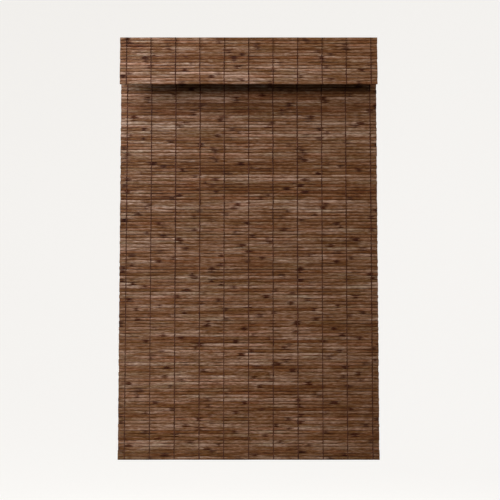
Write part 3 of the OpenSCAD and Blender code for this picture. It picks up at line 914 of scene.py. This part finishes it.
def metal_finishes():
    """Painted headrail, plated steel, spring steel and plain aluminium."""
    rail = coat_finish(
        "rail_paint", dark=(0.070, 0.038, 0.022), light=(0.085, 0.047, 0.028),
        rough=0.34, peel_scale=900.0, relief=0.12)
    steel = metal_finish(
        "plated_steel", dark=(0.42, 0.42, 0.41), light=(0.62, 0.62, 0.60), rough=0.3, grain=0.15)
    spring = metal_finish(
        "spring_steel", dark=(0.30, 0.32, 0.35), light=(0.44, 0.46, 0.50), rough=0.22, grain=0.1)
    aluminium = metal_finish(
        "mill_aluminium", dark=(0.58, 0.58, 0.57), light=(0.74, 0.74, 0.73), rough=0.34, grain=0.25)
    return rail, steel, spring, aluminium


def paint_hardware(nodes, cord):
    """Materials of the solids that are shown as they are."""
    ivory, grey, brown = plastic_finishes()
    rail, steel, spring, aluminium = metal_finishes()
    rings = [f"rings_{k}" for k in range(1, FOLDS + 1)]
    finishes = [
        (["headrail"], rail),
        (["end_cap_left", "end_cap_right"], brown),
        (["bracket_left", "bracket_right", "cradle_pins"], steel),
        (["spring_band"], spring),
        (["panel_hanger", "hanger_rivets"], aluminium),
        (["motor_base", "motor_cover", "spool_left", "spool_right", "idler_gear"], ivory),
        (["cradle_left", "cradle_right", "cord_anchors", *rings], ivory),
        (["drive_drum", "storage_drum"], grey),
        (["headrail_cords"], cord),
        (["valance_tape"], tape_finish()),
        (["bottom_bar"], timber_finish()),
    ]
    for names, finish in finishes:
        for name in names:
            mesh = nodes[name].data
            mesh.materials.clear()
            mesh.materials.append(finish)


# camera, room and light


def build_camera():
    """The photograph's view."""
    data = bpy.data.cameras.new("camera")
    data.lens = CAMERA_LENS
    data.sensor_width = SENSOR_W
    camera = add_object("camera", data)
    camera.location = CAMERA_AT
    camera.rotation_euler = (math.pi / 2 + CAMERA_LIFT, 0, 0)
    bpy.context.scene.camera = camera


def backdrop_finish():
    """Pale plaster that glows only where it is seen."""
    look = Finish("pale_backdrop")
    cloud = look.noise(look.place, pattern=0.0, scale=0.6, detail=1.0)
    look.set("Base Color", look.ramp(cloud, [(0.2, BACKDROP_DARK), (0.8, BACKDROP_LIGHT)]))
    look.set("Roughness", 0.95)
    look.set("Emission Color", ROOM_GLOW_COLOUR)
    look.set("Emission Strength", look.times(look.seen(), BACKDROP_GLOW))
    return look.material


def build_backdrop():
    """A pale round sweep: floor, rounded corner and wall all the way round."""
    outline = []
    for step in range(ROOM_ARC_STEPS + 1):
        angle = math.pi / 2 * step / ROOM_ARC_STEPS
        inset = ROOM_SWEEP * (1 - math.sin(angle))
        outline.append((ROOM_RADIUS - inset, FLOOR_Z + ROOM_SWEEP * (1 - math.cos(angle))))
    outline.append((ROOM_RADIUS, ROOM_TOP))
    turns = [2 * math.pi * k / ROOM_SIDES for k in range(ROOM_SIDES)]
    verts = [(r * math.cos(t), r * math.sin(t), z) for r, z in outline for t in turns]
    faces = [tuple(range(ROOM_SIDES))]
    for a, b in ring_corners(len(outline) - 1, ROOM_SIDES):
        faces.append((a, a + ROOM_SIDES, b + ROOM_SIDES, b))
    mesh = bpy.data.meshes.new("backdrop")
    mesh.from_pydata(verts, [], faces)
    smooth_sides(mesh)
    mesh.materials.append(backdrop_finish())
    backdrop = add_object("backdrop", mesh)


def area_light(name, place, aim, size, power, colour, spread):
    """A soft lamp that faces its aim."""
    data = bpy.data.lights.new(name, "AREA")
    data.shape = "RECTANGLE"
    data.size, data.size_y = size
    data.energy = power
    data.color = colour
    data.spread = math.radians(spread)
    light = add_object(name, data)
    light.location = place
    light.rotation_euler = (Vector(aim) - Vector(place)).to_track_quat("-Z", "Y").to_euler()


def build_light():
    """The lamps, and a world that is bright only where it is seen."""
    for name, settings in LAMPS.items():
        area_light(name, *settings)
    world = bpy.data.worlds.new("room")
    world.use_nodes = True
    sky = Wiring(world.node_tree)
    background = world.node_tree.nodes["Background"].inputs
    sky.put(background["Color"], ROOM_GLOW_COLOUR)
    sky.put(background["Strength"], sky.times_plus(sky.seen(), WORLD_GLOW, WORLD_AMBIENT))
    bpy.context.scene.world = world


def main():
    """The dressed shade with its camera, room and light."""
    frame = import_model()
    build_camera()
    cord = thread_finish("braided_cord", dark=(0.33, 0.27, 0.18), light=(0.62, 0.54, 0.41), plies=2600.0)
    build_cords(cord)
    bamboo = bamboo_finish()
    yarn = thread_finish(
        "warp_yarn", dark=(0.020, 0.0055, 0.0022), light=(0.085, 0.029, 0.013), plies=1800.0)
    build_mats(Loom(bamboo, yarn))
    stitches = stitch_tree()
    build_stitches(frame["joints"], yarn, stitches)
    build_ring_ties(cord, stitches)
    paint_hardware(frame["nodes"], cord)
    build_backdrop()
    build_light()
    bpy.context.scene.view_settings.view_transform = "Standard"


main()
